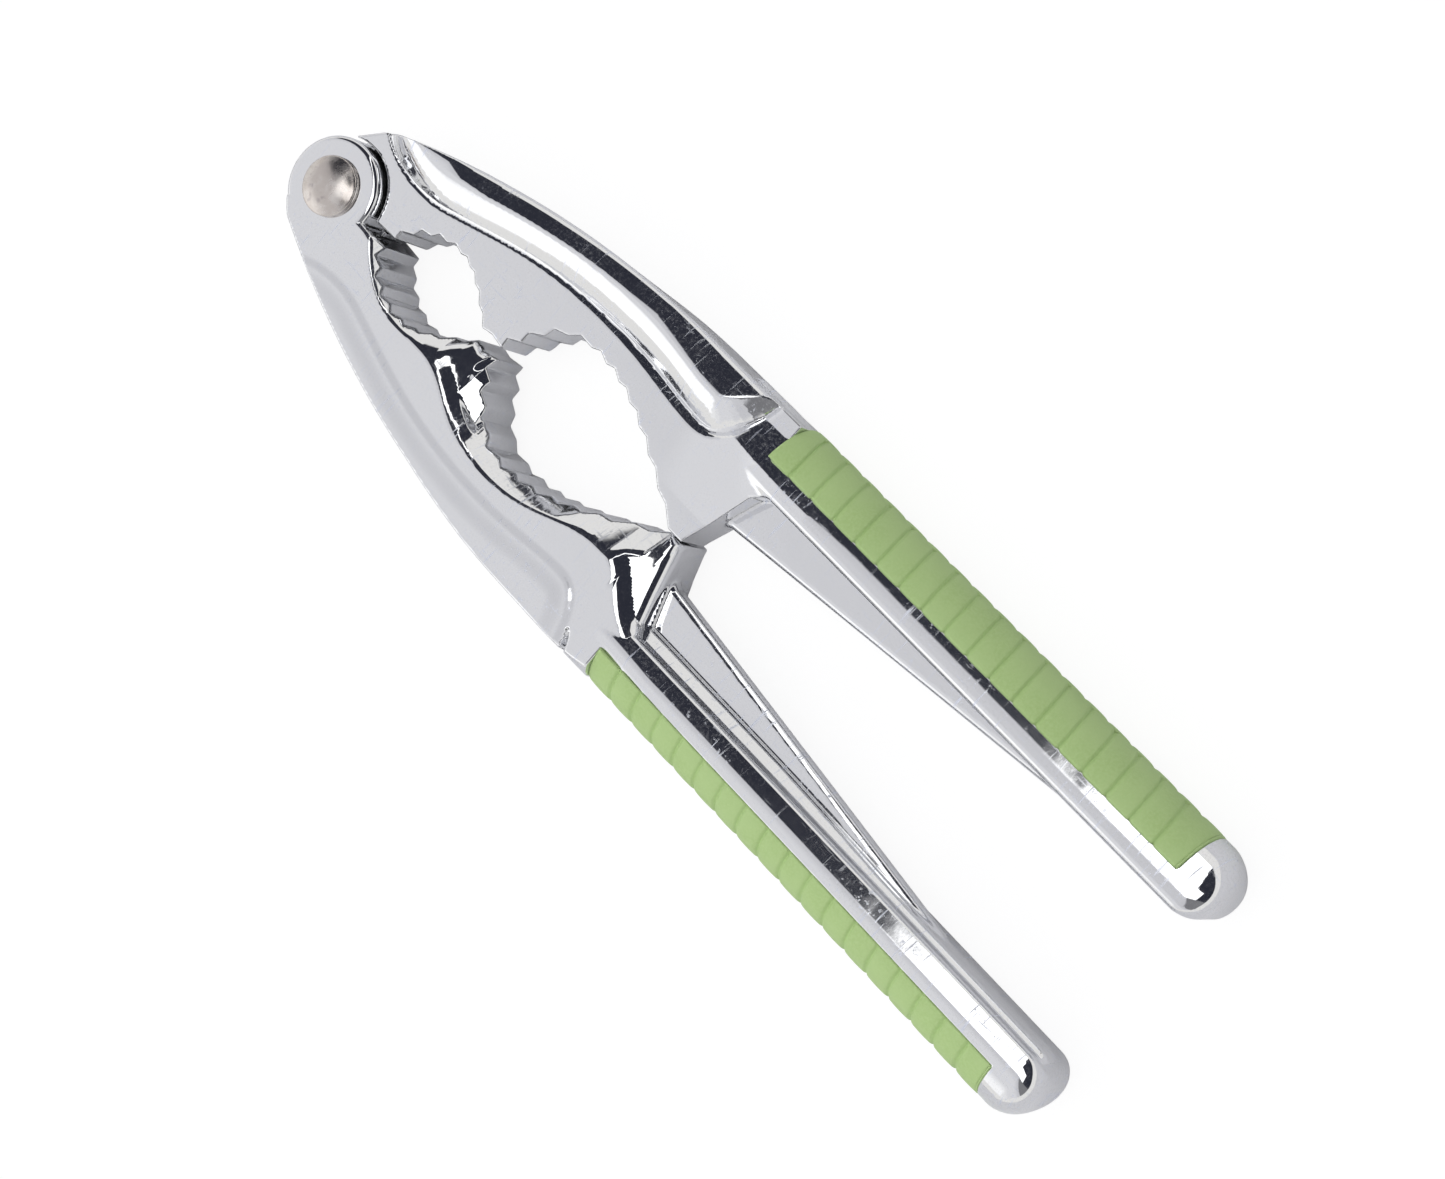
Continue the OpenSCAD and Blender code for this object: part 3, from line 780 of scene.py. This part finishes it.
def build_world():
    """A studio as the metal sees it: a white wall on one side, a dark one on the other, grey
    above the first, and one long softbox overhead, notched on its far side. The camera itself
    sees plain white."""
    world = bpy.data.worlds.new("studio")
    world.use_nodes = True
    bpy.context.scene.world = world
    n = Nodes(world.node_tree)

    def above(value, edge):
        return n.step(value, edge[0], edge[0] + edge[1])

    def below(value, edge):
        return n.step(n.math("MULTIPLY", value, -1.0), -edge[0], -edge[0] + edge[1])

    split = n.add("SeparateXYZ")
    n.feed(split.inputs[0], n.add("TexCoord").outputs["Generated"])
    dx, dy, dz = split.outputs
    across = n.math("ADD", dy, n.math("MULTIPLY", dx, SKEW))
    wall = n.mix(above(dx, PLAIN_WALL_X), BRIGHT, WALL)
    ceiling = n.mix(above(across, GREY_CEILING), PALE, GREY)
    sky = n.mix(above(across, CEILING), wall, ceiling)
    dark = above(across, DARK_SIDE)
    sky = n.mix(dark, sky, DARK)
    mid = n.math("MULTIPLY", above(dx, MID_X), below(dy, MID_Y))
    sky = n.mix(n.math("MULTIPLY", mid, dark), sky, MID)
    box = n.math("MULTIPLY", above(dx, BOX_START_X), above(dy, BOX_Y))
    box = n.math("MULTIPLY", box, below(dx, BOX_END_X))
    notch = n.math("MULTIPLY", above(dx, NOTCH_X), above(dy, NOTCH_Y))
    box = n.math("MULTIPLY", box, n.math("SUBTRACT", 1.0, notch))
    sky = n.mix(box, sky, SOFTBOX)
    dip = n.math("MULTIPLY", below(across, DIP_SIDE), HORIZON_DIP)
    height = n.math("SUBTRACT", dz, n.math("SUBTRACT", HORIZON, dip))
    sky = n.mix(n.step(height, 0.0, HORIZON_SOFT), LOW, sky)
    seen = n.mix(n.add("LightPath").outputs["Is Camera Ray"], sky, (1, 1, 1, 1))
    n.feed(n.nodes["Background"].inputs["Color"], seen)


def build_lights():
    """Soft overhead panel that lights the floor and the grips but isn't mirrored in the metal."""
    data = bpy.data.lights.new("panel", "AREA")
    data.shape = "DISK"
    data.size = 1.6
    data.energy = 4.5
    light = bpy.data.objects.new("panel", data)
    light.location = (0.0, -0.1, 1.2)
    light.visible_glossy = False
    bpy.context.scene.collection.objects.link(light)


CAMERA_TILT = math.radians(24.38)     # from straight above
CAMERA_TURN = math.radians(32.08)     # from +X towards +Y
CAMERA_ROLL = math.radians(168.48)    # image direction of the row's up
CAMERA_DISTANCE = 496.5               # mm from the pivot's depth
CAMERA_OFFSET = (50.68, -54.45)       # mm right and up of the pivot, in the image
CAMERA_FOCAL = 3593.1                 # pixels, in an image as wide as the photo
IMAGE_WIDTH, SENSOR_WIDTH = 1445, 36  # pixels, mm


def build_camera():
    """The photo's viewpoint, from its angles and its distance to the pivot."""
    away = Vector((math.sin(CAMERA_TILT) * math.cos(CAMERA_TURN),
                   math.sin(CAMERA_TILT) * math.sin(CAMERA_TURN), math.cos(CAMERA_TILT)))
    e1 = (Vector((0, 0, 1)) - away.z * away).normalized()
    e2 = away.cross(e1)
    c, s = math.cos(CAMERA_ROLL), math.sin(CAMERA_ROLL)
    right = c * e1 - s * e2
    up = s * e1 + c * e2
    place = pivot + MM * (CAMERA_DISTANCE * away + CAMERA_OFFSET[0] * right + CAMERA_OFFSET[1] * up)
    data = bpy.data.cameras.new("camera")
    data.sensor_width = SENSOR_WIDTH
    data.lens = SENSOR_WIDTH * CAMERA_FOCAL / IMAGE_WIDTH
    data.clip_start = 0.01
    camera = bpy.data.objects.new("camera", data)
    camera.matrix_world = Matrix.Translation(place) @ Matrix((right, up, away)).transposed().to_4x4()
    bpy.context.scene.collection.objects.link(camera)
    bpy.context.scene.camera = camera


chrome = chrome_material()
build_arms(chrome)
build_grips(grip_material())
build_rivet(rivet_material())
build_stage()
build_world()
build_lights()
build_camera()
bpy.context.scene.view_settings.view_transform = "Standard"
